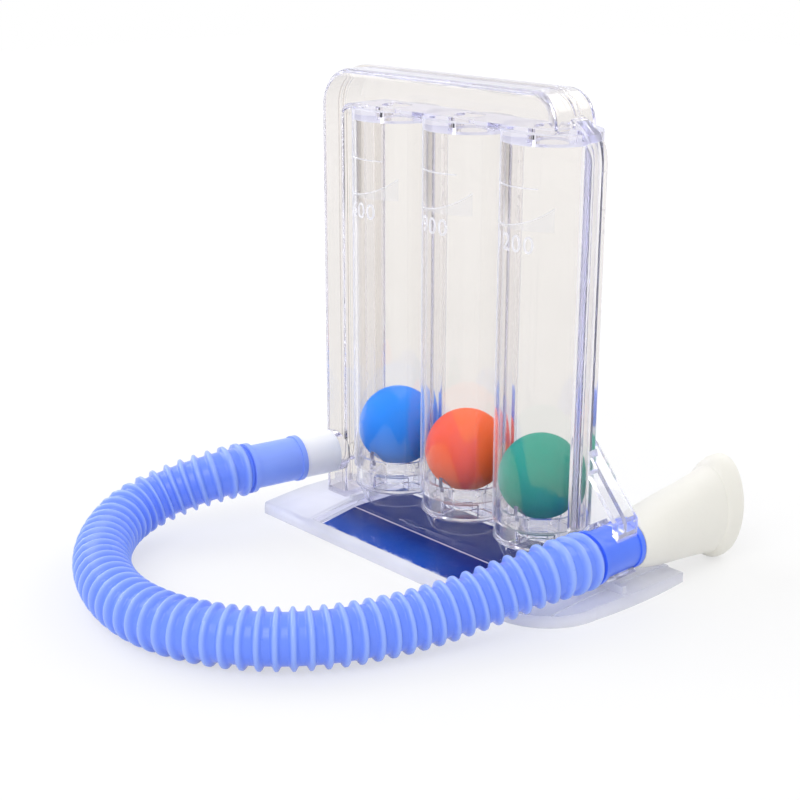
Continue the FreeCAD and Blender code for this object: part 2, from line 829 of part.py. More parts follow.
def route_path(points):
    """Straight runs joined by tangent arcs, each as large as its two runs allow."""
    runs = [(points[i + 1] - points[i]).Length for i in range(len(points) - 1)]
    edges = []
    last = points[0]
    radii = []
    for i in range(1, len(points) - 1):
        back = (points[i - 1] - points[i]).normalize()
        ahead = (points[i + 1] - points[i]).normalize()
        turn = math.pi - back.getAngle(ahead)
        reach = arc_share * min(runs[i - 1], runs[i])
        radius = reach / math.tan(turn / 2)
        radii.append(round(radius, 1))
        enter = points[i] + back * reach
        leave = points[i] + ahead * reach
        bisector = (back + ahead).normalize()
        centre = points[i] + bisector * math.hypot(radius, reach)
        middle = centre - bisector * radius
        edges.append(Part.LineSegment(last, enter).toShape())
        edges.append(Part.Arc(enter, middle, leave).toShape())
        last = leave
    edges.append(Part.LineSegment(last, points[-1]).toShape())
    return Part.Wire(edges), radii, runs


def make_hose():
    points = hose_route()
    path, radii, runs = route_path(points)
    direction = (points[1] - points[0]).normalize()
    outer = Part.Wire([Part.makeCircle(hose_radius, points[0], direction)])
    inner = Part.Wire([Part.makeCircle(hose_radius - hose_wall, points[0], direction)])
    tube = path.makePipeShell([outer], True, True)
    hollow = path.makePipeShell([inner], True, True)
    tube = tube.cut(hollow)
    section = math.pi * (hose_radius ** 2 - (hose_radius - hose_wall) ** 2)
    print("hose radii", radii)
    print("hose runs", [round(r, 1) for r in runs])
    ratio = tube.Volume / (section * path.Length)
    print("hose length", round(path.Length, 1), "volume ratio", round(ratio, 4))
    return tube


def main():
    os.makedirs("parts", exist_ok=True)
    save("base", make_base())
    save("base_card", make_base_card())
    save("front_shell", make_front_shell())
    save("rear_shell", make_rear_shell())
    for name, x in zip(tube_names, tube_xs):
        save("ball_" + name, make_ball(x))
        save("inlet_cup_" + name, make_inlet_cup(x))
    save("port_adapter", make_port_adapter())
    save("hose_cuff_port", make_port_cuff())
    save("hose", make_hose())
    save("hose_cuff_mouth", make_mouth_cuff())
    save("mouthpiece", make_mouthpiece())
    save("mouthpiece_clip", make_clip())


main()
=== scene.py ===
import math

import bpy
from mathutils import Matrix, Vector


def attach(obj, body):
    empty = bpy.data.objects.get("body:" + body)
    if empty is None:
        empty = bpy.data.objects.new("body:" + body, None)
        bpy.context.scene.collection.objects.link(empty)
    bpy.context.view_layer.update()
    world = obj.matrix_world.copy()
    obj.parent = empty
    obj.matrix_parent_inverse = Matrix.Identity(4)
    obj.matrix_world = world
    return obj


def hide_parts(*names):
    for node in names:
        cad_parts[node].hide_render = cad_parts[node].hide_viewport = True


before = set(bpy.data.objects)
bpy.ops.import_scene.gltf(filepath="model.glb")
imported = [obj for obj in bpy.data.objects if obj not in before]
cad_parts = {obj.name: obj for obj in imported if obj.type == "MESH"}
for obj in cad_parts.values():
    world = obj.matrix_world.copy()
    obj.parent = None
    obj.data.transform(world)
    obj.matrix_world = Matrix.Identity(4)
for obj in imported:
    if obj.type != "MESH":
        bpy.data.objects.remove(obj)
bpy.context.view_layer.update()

# Camera, solved from the photograph, for an 800 x 800 frame
CAMERA_EYE = Vector((0.3098, -0.31245, 0.1912))
CAMERA_TARGET = Vector((-0.0070, -0.02041, 0.05051))
CAMERA_LENS = 68.41
CAMERA_ROLL = math.radians(0.09)

# Device sizes that the scene's own pieces share with the solids
TUBE_XS = (-0.031, 0.0, 0.031)
TUBE_Y = 0.001
TUBE_RADIUS = 0.0142
TUBE_BOTTOM = 0.019
SEAM_Y = 0.001
PLINTH_TOP = 0.0074
CLIP_WALL_X = 0.0486
CLIP_HOOK_Y = 0.0045
CARD_HALF_LENGTH = 0.038
CARD_FRONT_Y = -0.0264
CARD_BACK_Y = 0.010

# Clear plastic: its refraction, how plain a window the base is over the card, how much of the haze glows
# through, from where a turning surface gets milkier, and the tints of its shadow and its depth
PLASTIC_IOR = 1.5
WINDOW_SHARE = 0.94
HAZE_THROUGH = 0.3
EDGE_FROM = 0.55
SHADOW_TINT = (0.95, 0.95, 0.98)
DEPTH_TINT = (0.3, 0.3, 0.86)

# How far beyond the card the base turns from clear to milky, from and to, at the sides, front and back
MASK_SIDE = (0.0013, 0.0021)
MASK_FRONT = (0.0010, 0.0018)
MASK_BACK = (0.0, 0.002)

# Copies of the solids: points per metre that count as one place, how near a point has to be to a plane to
# lie on it, and how far a clear face steps back from the one that it lies on
WELD_GRID = 200000
SEAM_NEAR = 6e-6
NUDGE_NEAR = 4e-6
NUDGE = 0.00004

# Corrugated hose. RIDGE_HALF_SHARE is half a ridge's width as a share of the pitch, and PLAIN_END the
# smooth length at each end.
HOSE_RADIUS = 0.00865
HOSE_ROOT_RADIUS = 0.0071
HOSE_BORE_RADIUS = 0.0063
RING_PITCH = 0.0043
RING_STEPS = 14
RIDGE_HALF_SHARE = 0.24
RIDGE_FULLNESS = 0.8
PLAIN_END = 0.0012
HOSE_SIDES = 48

# The hose's moulding seam: which of its sides it runs along, and how far it stands out
SEAM_STEP = 7
SEAM_RISE = 0.00016

# Marks on the tubes: heights in metres, angles in degrees about the tube's axis. RATE_FONT_SHARE is how much
# of the font's size a digit's height takes.
MARK_SUNK = 0.00002
MARK_PROUD = 0.00014
MARK_STEPS = 48
RING_MARK = (0.1184, 0.11875)
RING_MARK_ANGLES = (-150.0, -62.0)
WEDGE_ANGLES = (-136.0, -43.0)
WEDGE_BOTTOM = 0.107
WEDGE_LINE = 0.0003
WEDGE_RISE = 0.006
WEDGE_CURVE = 2.7
RATES = ("600", "900", "1200")
RATE_ANGLE = -95.0
RATE_BOTTOM = 0.1008
RATE_HEIGHT = 0.0048
RATE_FONT_SHARE = 0.7
RATE_LIFT = 0.0001

# The card's print, from navy to royal blue towards the front and the left, and its worn front edge
CARD_BLUE_Y = (-0.012, CARD_FRONT_Y + 0.002)
CARD_BLUE_X = (0.045, -0.005)
CARD_WORN_Y = (CARD_FRONT_Y + 0.0022, CARD_FRONT_Y + 0.0004)

# Painted highlight: a pale line across the card that stands in for the plinth's lit front edge, and two
# points of the card's top, as Y and Z
PAINTED_HIGHLIGHT_Y = -0.0117
PAINTED_HIGHLIGHT_HALF = 0.00022
PAINTED_HIGHLIGHT_LIFT = 0.00003
PAINTED_HIGHLIGHT_SUNK = 0.00001
CARD_CROWN = (-0.0112, 0.00465)
CARD_EDGE = (-0.0281, 0.00215)

# Studio: the world's light on the object, and the floor's glow where it is seen, near and far
WORLD_LIGHT = 0.7
GLOW_NEAR = 0.60
GLOW_FAR = 0.77
GLOW_DISTANCES = (0.15, 1.2)
FLOOR_HALF = 1.6
LAMP_AIM = Vector((0, -0.02, 0.06))
LAMPS = (
    ("key", (0.35, -0.75, 0.9), (0.7, 0.7), 4.4),
    ("fill", (-0.8, -0.3, 0.55), (0.8, 0.8), 3.8),
    ("back", (0.1, 0.8, 0.7), (0.9, 0.6), 2.8),
)
LIGHT_BOUNCES = 40

# Dark studio card: its top, its lower corners as X and Y, and where it fades in, as axis, clear and full
DARK_TOP = 0.09
DARK_LEFT = (-0.50, -0.02)
DARK_RIGHT = (-0.42, -0.27)
DARK_FADES = (
    ("Z", 0.0, 0.03), ("Z", DARK_TOP, 0.08), ("Y", DARK_RIGHT[1], -0.25), ("Y", DARK_LEFT[1], -0.05)
)

# The hose's route, from the port cuff to the mouthpiece cuff
HOSE_ROUTE = [
    (-0.057349, -0.040996, 0.0199),
    (-0.058356, -0.046708, 0.0199),
    (-0.0608, -0.0524, 0.0188),
    (-0.0652, -0.0594, 0.0165),
    (-0.0684, -0.0666, 0.0140),
    (-0.0691, -0.0746, 0.0119),
    (-0.0664, -0.0826, 0.0104),
    (-0.0608, -0.0904, 0.0094),
    (-0.0520, -0.0983, 0.0090),
    (-0.0403, -0.1053, 0.0088),
    (-0.0259, -0.1103, 0.0088),
    (-0.0111, -0.1116, 0.0088),
    (0.0035, -0.1086, 0.0088),
    (0.0171, -0.1015, 0.0088),
    (0.0283, -0.0910, 0.0088),
    (0.0363, -0.0776, 0.0088),
    (0.0423, -0.0606, 0.0092),
    (0.0470, -0.0466, 0.0109),
    (0.0520, -0.0336, 0.0140),
    (0.0563, -0.0230, 0.0166),
    (0.0580, -0.0162, 0.0168),
    (0.0580, -0.0095, 0.0168),
]


def new_material(name):
    material = bpy.data.materials.new(name)
    material.use_nodes = True
    tree = material.node_tree
    tree.nodes.clear()
    return material, tree


def node(tree, kind, **settings):
    made = tree.nodes.new(kind)
    for key, value in settings.items():
        setattr(made, key, value)
    return made


def fill(tree, made, values):
    """Give a node's first inputs their values, each a number, a colour or another node's output."""
    for entry, value in zip(made.inputs, values):
        if isinstance(value, bpy.types.NodeSocket):
            tree.links.new(value, entry)
        else:
            entry.default_value = value
    return made


def surface_place(tree):
    """The surface's own place, as outputs X, Y and Z."""
    coordinates = node(tree, "ShaderNodeTexCoord")
    split = node(tree, "ShaderNodeSeparateXYZ")
    tree.links.new(coordinates.outputs["Object"], split.inputs["Vector"])
    return split.outputs


def noise(tree, scale, detail=3.0, roughness=0.5):
    coordinates = node(tree, "ShaderNodeTexCoord")
    texture = node(tree, "ShaderNodeTexNoise")
    texture.inputs["Scale"].default_value = scale
    texture.inputs["Detail"].default_value = detail
    texture.inputs["Roughness"].default_value = roughness
    tree.links.new(coordinates.outputs["Object"], texture.inputs["Vector"])
    return texture.outputs["Fac"]


def spread(tree, source, low, high, from_min=0.3, from_max=0.7):
    """Map a value, such as a noise, to a range."""
    mapping = node(tree, "ShaderNodeMapRange")
    return fill(tree, mapping, (source, from_min, from_max, low, high)).outputs["Result"]


def fade(tree, source, start, end, most=1.0):
    """Smooth step of a value, from 0 at start to most at end."""
    step = node(tree, "ShaderNodeMapRange", interpolation_type="SMOOTHSTEP")
    return fill(tree, step, (source, start, end, 0.0, most)).outputs["Result"]


def combine(tree, operation, first, second, **settings):
    made = node(tree, "ShaderNodeMath", operation=operation, **settings)
    return fill(tree, made, (first, second)).outputs["Value"]


def two_tone(tree, source, dark, light):
    ramp = node(tree, "ShaderNodeValToRGB")
    ramp.color_ramp.elements[0].position = 0.35
    ramp.color_ramp.elements[0].color = (*dark, 1)
    ramp.color_ramp.elements[1].position = 0.65
    ramp.color_ramp.elements[1].color = (*light, 1)
    tree.links.new(source, ramp.inputs["Fac"])
    return ramp.outputs["Color"]


def mix_colours(tree, share, first, second, blend_type="MIX"):
    made = node(tree, "ShaderNodeMixRGB", blend_type=blend_type)
    return fill(tree, made, (share, first, second)).outputs["Color"]


def mix_shaders(tree, share, first, second):
    return fill(tree, node(tree, "ShaderNodeMixShader"), (share, first, second)).outputs["Shader"]


def bump(tree, source, distance, strength=1.0):
    made = node(tree, "ShaderNodeBump")
    made.inputs["Distance"].default_value = distance
    made.inputs["Strength"].default_value = strength
    tree.links.new(source, made.inputs["Height"])
    return made.outputs["Normal"]


def plain_shader(tree, kind, colour):
    """A simple shader, such as diffuse or transparent, of one colour or of a node's colour."""
    if not isinstance(colour, bpy.types.NodeSocket):
        colour = (*colour, 1)
    return fill(tree, node(tree, kind), (colour,)).outputs[0]


def set_surface(tree, surface):
    output = node(tree, "ShaderNodeOutputMaterial")
    tree.links.new(surface, output.inputs["Surface"])
    return output


def seen_directly(tree):
    """1 for rays that show the background, straight, mirrored or through clear plastic, and 0 for others."""
    path = node(tree, "ShaderNodeLightPath")
    seen = combine(tree, "MAXIMUM", path.outputs["Is Camera Ray"], path.outputs["Is Transmission Ray"])
    return combine(tree, "MAXIMUM", seen, path.outputs["Is Glossy Ray"])


def card_mask(tree):
    """1 away from the printed card and 0 over it, from the surface's own place."""
    place = surface_place(tree)
    size = node(tree, "ShaderNodeMath", operation="ABSOLUTE")
    tree.links.new(place["X"], size.inputs[0])
    side = fade(tree, size.outputs["Value"], *(CARD_HALF_LENGTH + margin for margin in MASK_SIDE))
    front = fade(tree, place["Y"], *(CARD_FRONT_Y - margin for margin in MASK_FRONT))
    back = fade(tree, place["Y"], *(CARD_BACK_Y + margin for margin in MASK_BACK))
    return combine(tree, "MAXIMUM", combine(tree, "MAXIMUM", side, front), back)


def clear_plastic(
    name, tint, roughness=0.02, haze=0.0, haze_colour=(0.86, 0.87, 0.98), masked=False, absorb=0.0, edge=0.0
):
    """Clear moulded plastic: glossy and refracting, with faint flow marks. Lamps shine through it.

    haze is how milky it is, and edge how much milkier it gets where it turns away from the eye, as moulded
    polystyrene does. masked keeps it clear over the printed card, and absorb tints it by its depth."""
    material, tree = new_material(name)
    shader = node(tree, "ShaderNodeBsdfPrincipled")
    shader.inputs["Transmission Weight"].default_value = 1.0
    shader.inputs["IOR"].default_value = PLASTIC_IOR
    flow = noise(tree, 55.0, 2.0)
    darker = tuple(0.985 * c for c in tint)
    gloss = spread(tree, noise(tree, 140.0), roughness * 0.5, roughness * 1.5)
    tree.links.new(two_tone(tree, flow, darker, tint), shader.inputs["Base Color"])
    tree.links.new(gloss, shader.inputs["Roughness"])
    tree.links.new(bump(tree, flow, 0.00005, 0.08), shader.inputs["Normal"])
    surface = shader.outputs["BSDF"]
    amount = spread(tree, noise(tree, 30.0), haze * 0.85, haze * 1.15)
    if edge:
        facing = node(tree, "ShaderNodeLayerWeight")
        facing.inputs["Blend"].default_value = 0.5
        turned = fade(tree, facing.outputs["Facing"], EDGE_FROM, 1.0, edge)
        amount = combine(tree, "ADD", amount, turned, use_clamp=True)
    if masked:
        mask = card_mask(tree)
        amount = combine(tree, "MULTIPLY", amount, mask)
    scatter = plain_shader(tree, "ShaderNodeBsdfDiffuse", haze_colour)
    glow = plain_shader(tree, "ShaderNodeBsdfTranslucent", haze_colour)
    surface = mix_shaders(tree, amount, surface, mix_shaders(tree, HAZE_THROUGH, scatter, glow))
    if masked:
        window = plain_shader(tree, "ShaderNodeBsdfTransparent", (1, 1, 1))
        surface = mix_shaders(tree, spread(tree, mask, WINDOW_SHARE, 0.0, 0.0, 1.0), surface, window)
    through = plain_shader(tree, "ShaderNodeBsdfTransparent", SHADOW_TINT)
    path = node(tree, "ShaderNodeLightPath")
    output = set_surface(tree, mix_shaders(tree, path.outputs["Is Shadow Ray"], surface, through))
    if absorb:
        volume = node(tree, "ShaderNodeVolumeAbsorption")
        volume.inputs["Color"].default_value = (*DEPTH_TINT, 1)
        volume.inputs["Density"].default_value = absorb
        tree.links.new(volume.outputs["Volume"], output.inputs["Volume"])
    return material


def moulded_shader(tree, colour, roughness, grain_scale, grain_depth):
    """Opaque plastic with slight gloss variation and a fine surface grain."""
    shader = node(tree, "ShaderNodeBsdfPrincipled")
    gloss = spread(tree, noise(tree, 160.0), roughness * 0.8, roughness * 1.25)
    tree.links.new(colour, shader.inputs["Base Color"])
    tree.links.new(gloss, shader.inputs["Roughness"])
    tree.links.new(bump(tree, noise(tree, grain_scale, 4.0), grain_depth), shader.inputs["Normal"])
    set_surface(tree, shader.outputs["BSDF"])
    return shader


def solid_plastic(
    name, light, dark, roughness, grain_scale, grain_depth, coat=0.0, subsurface=0.0, specular=0.5
):
    """Opaque moulded plastic with slight colour variation."""
    material, tree = new_material(name)
    colour = two_tone(tree, noise(tree, 38.0), dark, light)
    shader = moulded_shader(tree, colour, roughness, grain_scale, grain_depth)
    shader.inputs["Specular IOR Level"].default_value = specular
    shader.inputs["Coat Weight"].default_value = coat
    shader.inputs["Coat Roughness"].default_value = 0.2
    if subsurface:
        shader.inputs["Subsurface Weight"].default_value = subsurface
        shader.inputs["Subsurface Radius"].default_value = (0.002, 0.002, 0.002)
        shader.inputs["Subsurface Scale"].default_value = 1.0
    return material


def hose_plastic(name, crest_painted_light, root, roughness):
    """Blue hose plastic with painted light and shade: paler on the ridges, as a painted highlight, and darker
    in the grooves, as painted shade.
    """
    material, tree = new_material(name)
    ridge = node(tree, "ShaderNodeAttribute", attribute_name="ridge")
    # Painted highlight and shade: the ridge share blends the grooves' painted shade into the ridges' painted
    # light
    base = mix_colours(tree, ridge.outputs["Fac"], (*root, 1), (*crest_painted_light, 1))
    mottle = two_tone(tree, noise(tree, 38.0), (0.93, 0.93, 0.96), (1.0, 1.0, 1.0))
    shader = moulded_shader(tree, mix_colours(tree, 1.0, base, mottle, "MULTIPLY"), roughness, 700.0, 0.00001)
    shader.inputs["Coat Weight"].default_value = 0.25
    shader.inputs["Coat Roughness"].default_value = 0.15
    return material


def card_print():
    """Navy card that turns royal blue towards its front, with a worn front edge."""
    material, tree = new_material("card_print")
    shader = node(tree, "ShaderNodeBsdfPrincipled")
    place = surface_place(tree)
    depth = fade(tree, place["Y"], *CARD_BLUE_Y)
    across = fade(tree, place["X"], *CARD_BLUE_X)
    ramp = node(tree, "ShaderNodeValToRGB")
    ramp.color_ramp.elements[0].color = (0.003, 0.020, 0.17, 1)
    ramp.color_ramp.elements[1].color = (0.004, 0.075, 0.47, 1)
    tree.links.new(combine(tree, "MULTIPLY", depth, across), ramp.inputs["Fac"])
    blotches = two_tone(tree, noise(tree, 60.0), (0.72, 0.72, 0.78), (1.0, 1.0, 1.0))
    mottle = mix_colours(tree, 0.5, ramp.outputs["Color"], blotches, "MULTIPLY")
    front_edge = fade(tree, place["Y"], *CARD_WORN_Y)
    worn = combine(tree, "MULTIPLY", front_edge, spread(tree, noise(tree, 260.0), 0.0, 1.0, 0.5, 0.58))
    tree.links.new(mix_colours(tree, worn, mottle, (0.62, 0.68, 0.85, 1)), shader.inputs["Base Color"])
    tree.links.new(spread(tree, noise(tree, 300.0), 0.35, 0.55), shader.inputs["Roughness"])
    shader.inputs["Specular IOR Level"].default_value = 0.1
    set_surface(tree, shader.outputs["BSDF"])
    return material


def dress(name, material):
    """Give a CAD node its finish."""
    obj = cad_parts[name]
    obj.data.materials.clear()
    obj.data.materials.append(material)


def mesh_object(name, verts, faces, material, smooth=True):
    mesh = bpy.data.meshes.new(name)
    mesh.from_pydata(verts, [], faces)
    mesh.update()
    if smooth:
        mesh.polygons.foreach_set("use_smooth", [True] * len(mesh.polygons))
    obj = bpy.data.objects.new(name, mesh)
    bpy.context.scene.collection.objects.link(obj)
    obj.data.materials.append(material)
    return obj


def own_copy(name, nodes, material, nudges=(), joined_plane=None):
    """A finished copy of one or more CAD solids, with the solids' own smooth shading.

    Faces that lie on another piece step back by a hair, so that clear plastic is never drawn twice in one
    place. nudges gives them as axis, place and shift. Solids that meet on joined_plane, a Y value, become one
    closed form without the faces on that plane."""
    verts = []
    faces = []
    normals = []
    known = {}
    for cad in nodes:
        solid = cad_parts[cad].data
        places = []
        for vertex in solid.vertices:
            key = tuple(round(c * WELD_GRID) for c in vertex.co)
            if key not in known:
                known[key] = len(verts)
                verts.append(vertex.co.copy())
            places.append(known[key])
        for face in solid.polygons:
            ring = [places[i] for i in face.vertices]
            inside = joined_plane is not None and all(
                abs(verts[i].y - joined_plane) < SEAM_NEAR for i in ring
            )
            if inside or len(set(ring)) < len(ring):
                continue
            faces.append(ring)
            normals.extend(solid.corner_normals[i].vector.copy() for i in face.loop_indices)
    for axis, value, shift in nudges:
        for place in verts:
            if abs(place[axis] - value) < NUDGE_NEAR:
                place[axis] += shift
    copy = mesh_object(name, verts, faces, material)
    copy.data.normals_split_custom_set(normals)
    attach(copy, "device")
    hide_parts(*nodes)


def on_tube(tube_x, angle, z, lift):
    """A point on a tube's outside, at an angle in degrees about its axis."""
    turn = math.radians(angle)
    radius = TUBE_RADIUS + lift
    return (tube_x + radius * math.cos(turn), TUBE_Y + radius * math.sin(turn), z)


def raised_band(name, tube_x, low, high, angles, material):
    """Thin raised band round part of a tube. low and high give its two edges' heights at each angle."""
    start, end = angles
    verts = []
    for i in range(MARK_STEPS + 1):
        angle = start + (end - start) * i / MARK_STEPS
        for edge, lift in ((low, MARK_SUNK), (low, MARK_PROUD), (high, MARK_PROUD), (high, MARK_SUNK)):
            verts.append(on_tube(tube_x, angle, edge(angle), lift))
    faces = []
    for i in range(MARK_STEPS):
        a, b = 4 * i, 4 * (i + 1)
        for k in range(4):
            following = (k + 1) % 4
            faces.append((a + k, b + k, b + following, a + following))
    faces.append((0, 1, 2, 3))
    last = 4 * MARK_STEPS
    faces.append((last + 3, last + 2, last + 1, last))
    band = mesh_object(name, verts, faces, material, False)
    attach(band, "device")


def raised_number(name, tube_x, digits, material):
    """Raised digits that follow the tube's curve."""
    curve = bpy.data.curves.new(name, "FONT")
    curve.body = digits
    curve.size = RATE_HEIGHT / RATE_FONT_SHARE
    curve.extrude = 0.00006
    curve.bevel_depth = 0.00002
    curve.align_x = "CENTER"
    curve.space_character = 1.15
    curve.resolution_u = 8
    holder = bpy.data.objects.new(name, curve)
    bpy.context.scene.collection.objects.link(holder)
    bpy.context.view_layer.update()
    mesh = bpy.data.meshes.new_from_object(holder)
    bpy.data.objects.remove(holder)
    bpy.data.curves.remove(curve)
    for v in mesh.vertices:
        angle = RATE_ANGLE + math.degrees(v.co.x / TUBE_RADIUS)
        v.co = on_tube(tube_x, angle, RATE_BOTTOM + v.co.y, RATE_LIFT + v.co.z)
    mesh.update()
    mesh.name = name
    number = bpy.data.objects.new(name, mesh)
    bpy.context.scene.collection.objects.link(number)
    mesh.materials.clear()
    mesh.materials.append(material)
    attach(number, "device")


def wedge_top(angle):
    """Height of the flow wedge's upper edge, which curves up towards its end."""
    start, end = WEDGE_ANGLES
    return WEDGE_BOTTOM + WEDGE_LINE + WEDGE_RISE * ((angle - start) / (end - start)) ** WEDGE_CURVE


def make_tube_marks(line_material, fill_material):
    """The moulded marks on each tube: a ring line, a growing flow wedge and the flow rate."""
    low, high = RING_MARK
    for side, x, rate in zip(("left", "centre", "right"), TUBE_XS, RATES):
        raised_band("mark_ring_" + side, x, lambda a: low, lambda a: high, RING_MARK_ANGLES, line_material)
        raised_band("mark_wedge_" + side, x, lambda a: WEDGE_BOTTOM, wedge_top, WEDGE_ANGLES, fill_material)
        raised_band(
            "mark_wedge_top_" + side, x, wedge_top, lambda a: wedge_top(a) + WEDGE_LINE, WEDGE_ANGLES,
            line_material,
        )
        raised_number("mark_rate_" + side, x, rate, line_material)


def make_painted_plinth_highlight(material):
    """Painted highlight: a pale line across the card, just in front of the plinth, between the card and the
    panel, standing in for the plinth's lit front edge.
    """

    def height(y):
        share = (y - CARD_CROWN[0]) / (CARD_EDGE[0] - CARD_CROWN[0])
        return CARD_CROWN[1] + share * (CARD_EDGE[1] - CARD_CROWN[1]) + PAINTED_HIGHLIGHT_LIFT - PAINTED_HIGHLIGHT_SUNK

    verts = []
    for x in (-CARD_HALF_LENGTH, CARD_HALF_LENGTH):
        for side, drop in ((-1, 0), (1, 0), (1, PAINTED_HIGHLIGHT_LIFT), (-1, PAINTED_HIGHLIGHT_LIFT)):
            y = PAINTED_HIGHLIGHT_Y + side * PAINTED_HIGHLIGHT_HALF
            verts.append((x, y, height(y) - drop))
    faces = [(0, 1, 5, 4), (1, 2, 6, 5), (2, 3, 7, 6), (3, 0, 4, 7), (3, 2, 1, 0), (4, 5, 6, 7)]
    line = mesh_object("painted_plinth_highlight", verts, faces, material, False)
    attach(line, "device")


def route_curve():
    curve = bpy.data.curves.new("hose_route", "CURVE")
    curve.dimensions = "3D"
    spline = curve.splines.new("NURBS")
    spline.points.add(len(HOSE_ROUTE) - 1)
    for point, place in zip(spline.points, HOSE_ROUTE):
        point.co = (*place, 1.0)
    spline.order_u = 3
    spline.use_endpoint_u = True
    spline.resolution_u = 16
    return curve


def route_points():
    """The smooth line through the route, as points close together."""
    curve = route_curve()
    holder = bpy.data.objects.new("hose_route", curve)
    bpy.context.scene.collection.objects.link(holder)
    bpy.context.view_layer.update()
    mesh = bpy.data.meshes.new_from_object(holder)
    points = [v.co.copy() for v in mesh.vertices]
    bpy.data.objects.remove(holder)
    bpy.data.meshes.remove(mesh)
    bpy.data.curves.remove(curve)
    return points


class Line:
    """A line of close points, read by distance along it."""

    def __init__(self, points):
        self.points = points
        self.at = [0.0]
        for a, b in zip(points, points[1:]):
            self.at.append(self.at[-1] + (b - a).length)
        self.length = self.at[-1]
        self.tangents = []
        for i in range(len(points)):
            before = points[max(i - 1, 0)]
            after = points[min(i + 1, len(points) - 1)]
            self.tangents.append((after - before).normalized())

    def read(self, distance):
        distance = min(max(distance, 0.0), self.length)
        i = 1
        while i < len(self.at) - 1 and self.at[i] < distance:
            i += 1
        share = (distance - self.at[i - 1]) / (self.at[i] - self.at[i - 1])
        place = self.points[i - 1].lerp(self.points[i], share)
        tangent = self.tangents[i - 1].lerp(self.tangents[i], share).normalized()
        return place, tangent


def ring_profile(share):
    """Radius across one pitch of the corrugation: a narrow rounded ridge on a plain root."""
    offset = abs(share - 0.5)
    if offset >= RIDGE_HALF_SHARE:
        return HOSE_ROOT_RADIUS
    rise = math.cos(offset / RIDGE_HALF_SHARE * math.pi / 2) ** RIDGE_FULLNESS
    return HOSE_ROOT_RADIUS + (HOSE_RADIUS - HOSE_ROOT_RADIUS) * rise


def make_hose(material):
    """Corrugated tube along the route, with a bore, so that its ends are open like the real one."""
    line = Line(route_points())
    rings = round(line.length / RING_PITCH)
    stations = []
    for i in range(rings * RING_STEPS + 1):
        distance = line.length * i / (rings * RING_STEPS)
        radius = ring_profile((i % RING_STEPS) / RING_STEPS)
        if distance < PLAIN_END or distance > line.length - PLAIN_END:
            radius = HOSE_ROOT_RADIUS
        stations.append((distance, min(radius, HOSE_RADIUS - SEAM_RISE)))
    verts = []
    faces = []
    up = Vector((0, 0, 1))

    def add_ring(distance, radius):
        place, tangent = line.read(distance)
        side = tangent.cross(up).normalized()
        top = side.cross(tangent).normalized()
        start = len(verts)
        for k in range(HOSE_SIDES):
            angle = 2 * math.pi * k / HOSE_SIDES
            verts.append(place + (side * math.cos(angle) + top * math.sin(angle)) * radius)
        return start

    def join(a, b):
        for k in range(HOSE_SIDES):
            following = (k + 1) % HOSE_SIDES
            faces.append((a + k, a + following, b + following, b + k))

    starts = [add_ring(*station) for station in stations]
    for start, (distance, radius) in zip(starts, stations):
        centre = line.read(distance)[0]
        seam_point = verts[start + SEAM_STEP]
        verts[start + SEAM_STEP] = seam_point + (seam_point - centre).normalized() * SEAM_RISE
    for a, b in zip(starts, starts[1:]):
        join(a, b)
    inner = [add_ring(line.length * i / (rings * 2), HOSE_BORE_RADIUS) for i in range(rings * 2 + 1)]
    for a, b in zip(inner, inner[1:]):
        join(b, a)
    join(inner[0], starts[0])
    join(starts[-1], inner[-1])
    hose = mesh_object("hose_corrugated", verts, faces, material)
    # Ridge share of each point, which the hose material uses to paint the ridges lighter and the grooves
    # darker, as painted highlight and shade
    ridge = hose.data.attributes.new("ridge", "FLOAT", "POINT")
    for start, (distance, radius) in zip(starts, stations):
        for k in range(HOSE_SIDES):
            ridge.data[start + k].value = (radius - HOSE_ROOT_RADIUS) / (HOSE_RADIUS - HOSE_ROOT_RADIUS)
    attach(hose, "device")
    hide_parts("hose")


def look_at(obj, target, roll=0.0):
    direction = (target - obj.location).normalized()
    rotation = direction.to_track_quat("-Z", "Y").to_matrix().to_4x4()
    obj.matrix_world = Matrix.Translation(obj.location) @ rotation @ Matrix.Rotation(roll, 4, "Z")


def make_camera():
    data = bpy.data.cameras.new("camera")
    data.lens = CAMERA_LENS
    data.sensor_width = 36.0
    data.sensor_fit = "HORIZONTAL"
    data.clip_start = 0.01
    camera = bpy.data.objects.new("camera", data)
    bpy.context.scene.collection.objects.link(camera)
    camera.location = CAMERA_EYE
    look_at(camera, CAMERA_TARGET, CAMERA_ROLL)
    bpy.context.scene.camera = camera


def make_lamp(name, place, size, power):
    data = bpy.data.lights.new(name, "AREA")
    data.shape = "RECTANGLE"
    data.size, data.size_y = size
    data.energy = power
    lamp = bpy.data.objects.new(name, data)
    bpy.context.scene.collection.objects.link(lamp)
    lamp.location = place
    look_at(lamp, LAMP_AIM)


def make_world():
    """Plain studio light, which shows as white."""
    world = bpy.data.worlds.new("studio")
    bpy.context.scene.world = world
    world.use_nodes = True
    tree = world.node_tree
    tree.nodes.clear()
    lit = fill(tree, node(tree, "ShaderNodeBackground"), ((1, 1, 1, 1), WORLD_LIGHT)).outputs["Background"]
    shown = fill(tree, node(tree, "ShaderNodeBackground"), ((1, 1, 1, 1), 1.0)).outputs["Background"]
    output = node(tree, "ShaderNodeOutputWorld")
    tree.links.new(mix_shaders(tree, seen_directly(tree), lit, shown), output.inputs["Surface"])


